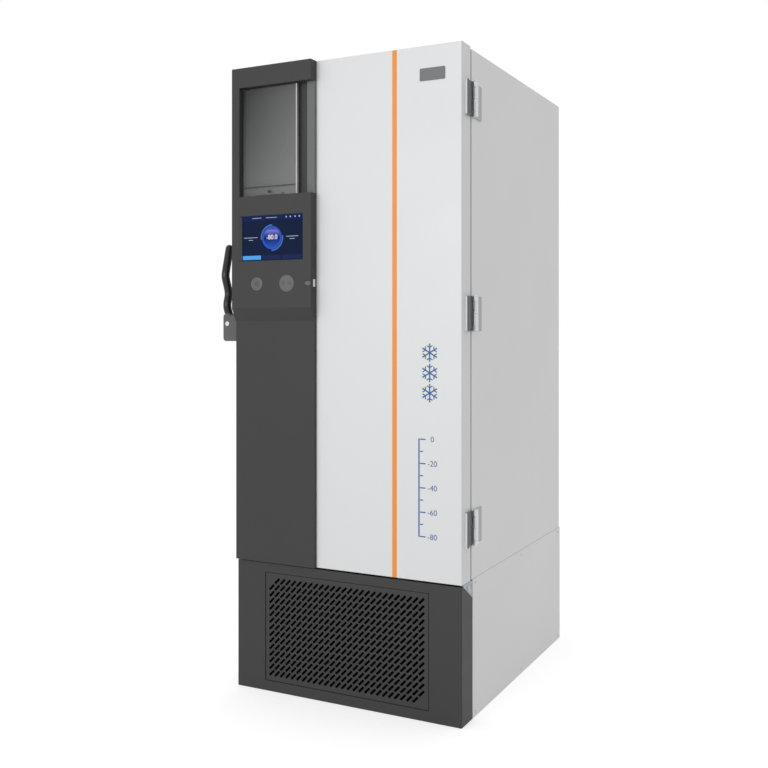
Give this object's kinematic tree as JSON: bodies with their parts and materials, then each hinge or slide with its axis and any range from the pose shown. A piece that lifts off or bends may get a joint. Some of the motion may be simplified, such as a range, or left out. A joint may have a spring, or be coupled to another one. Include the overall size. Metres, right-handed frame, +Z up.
{
  "type": "ultra low temperature freezer",
  "caption": "Upright laboratory deep freezer with a hinged insulated door, dark control column, side lever handle, inner doors over shelves and a slotted base grille.",
  "frame": {"origin": "centre of the base footprint on the floor", "axes": "+X to the right seen from the front, +Y to the rear, +Z up"},
  "size_m": [0.8583, 0.9886, 1.98],
  "materials": {
    "painted_steel_grey": "fine textured powder coat",
    "painted_steel_white": "smooth satin powder coat",
    "insulation_foam": "closed-cell foam",
    "stainless": "brushed",
    "white_plastic": "moulded",
    "gasket_rubber": "smooth",
    "column_plastic": "fine spark texture",
    "rail_plastic": "satin",
    "control_plastic": "satin",
    "lever_plastic": "soft gloss",
    "hinge_chrome": "polished",
    "pale_plastic": "smooth",
    "screen_glass": "glossy",
    "smoked_clear": "clear, lightly smoked",
    "zinc_steel": "zinc plated",
    "fin_aluminium": "finned",
    "black_enamel": "gloss enamel",
    "copper_tube": "drawn",
    "filter_pad": "open pad",
    "black_plastic": "moulded"
  },
  "bodies": {
    "root": {"base_pan": "zinc_steel", "base_frame": "zinc_steel", "cabinet_floor": "zinc_steel", "base_fascia": "column_plastic", "side_panel_left": "painted_steel_grey", "side_panel_right": "painted_steel_grey", "panel_screws": "stainless", "rear_louvre_panel": "painted_steel_grey", "power_inlet": "black_plastic", "cabinet_wrapper": "painted_steel_grey", "top_panel": "painted_steel_grey", "wall_insulation": "insulation_foam", "inner_liner": "stainless", "front_frame": "white_plastic", "evaporator_coil": "copper_tube", "shelves": "stainless", "shelf_brackets": "stainless", "inner_door_pivots": "stainless", "hinge_cabinet_leaves": "hinge_chrome", "hinge_pins": "hinge_chrome", "latch_strike": "stainless", "condenser": "fin_aluminium", "fan_shroud": "zinc_steel", "fan_motor": "black_enamel", "compressor_high_stage": "black_enamel", "compressor_low_stage": "black_enamel", "discharge_pipes": "copper_tube", "interstage_exchanger": "insulation_foam", "control_box": "zinc_steel"},
    "outer_door": {"door_skin": "painted_steel_white", "door_core": "insulation_foam", "door_liner": "white_plastic", "door_gasket": "gasket_rubber", "column_lower_panel": "column_plastic", "console_housing": "column_plastic", "reader_pad": "control_plastic", "display_bezel": "pale_plastic", "display_glass": "screen_glass", "display_module": "screen_glass", "indicator_lamp": "pale_plastic", "port_cover": "pale_plastic", "column_cap": "column_plastic", "window_stile": "column_plastic", "bay_back_panel": "column_plastic", "bay_sill": "column_plastic", "bay_side_rail": "rail_plastic", "flap_hinge_lugs": "column_plastic", "handle_mount": "column_plastic", "hinge_door_leaves": "hinge_chrome"},
    "lever": {"handle_lever": "lever_plastic"},
    "lock": {"lock_plug": "hinge_chrome"},
    "flap": {"bay_flap": "smoked_clear"},
    "button": {"power_button": "control_plastic"},
    "inner_upper": {"inner_door_upper": "white_plastic"},
    "inner_lower": {"inner_door_lower": "white_plastic"},
    "grille": {"front_grille": "column_plastic", "air_filter": "filter_pad"},
    "fan": {"condenser_fan": "black_plastic"}
  },
  "joints": [
    {"name": "outer_door_hinge", "type": "hinge", "parent": "root", "child": "outer_door", "pos_m": [0.402, -0.397, 1.1955], "axis": [0, 0, 1], "range_deg": [0, 110]},
    {"name": "lever_turn", "type": "hinge", "parent": "outer_door", "child": "lever", "pos_m": [-0.394, -0.445, 1.155], "axis": [1, 0, 0], "range_deg": [0, 75]},
    {"name": "lock_turn", "type": "hinge", "parent": "lever", "child": "lock", "pos_m": [-0.43, -0.47, 1.167], "axis": [0, 1, 0], "range_deg": [0, 90]},
    {"name": "flap_hinge", "type": "hinge", "parent": "outer_door", "child": "flap", "pos_m": [-0.255, -0.489, 1.911], "axis": [-1, 0, 0], "range_deg": [0, 90]},
    {"name": "button_press", "type": "slide", "parent": "outer_door", "child": "button", "axis": [0, 1, 0], "range_m": [0, 0.002], "stiffness_N_per_m": 500},
    {"name": "inner_upper_hinge", "type": "hinge", "parent": "root", "child": "inner_upper", "pos_m": [0.232, -0.377, 1.5], "axis": [0, 0, 1], "range_deg": [0, 99]},
    {"name": "inner_lower_hinge", "type": "hinge", "parent": "root", "child": "inner_lower", "pos_m": [0.232, -0.377, 0.9], "axis": [0, 0, 1], "range_deg": [0, 88]},
    {"name": "grille_pull", "type": "slide", "parent": "root", "child": "grille", "axis": [0, -1, 0], "range_m": [0, 0.06]},
    {"name": "fan_spin", "type": "hinge", "parent": "root", "child": "fan", "pos_m": [0, -0.294, 0.165], "axis": [0, 1, 0], "continuous": true}
  ],
  "couplings": [
    {"joint": "inner_upper_hinge", "follows": "outer_door_hinge", "ratio": 0.9},
    {"joint": "inner_lower_hinge", "follows": "outer_door_hinge", "ratio": 0.8}
  ]
}
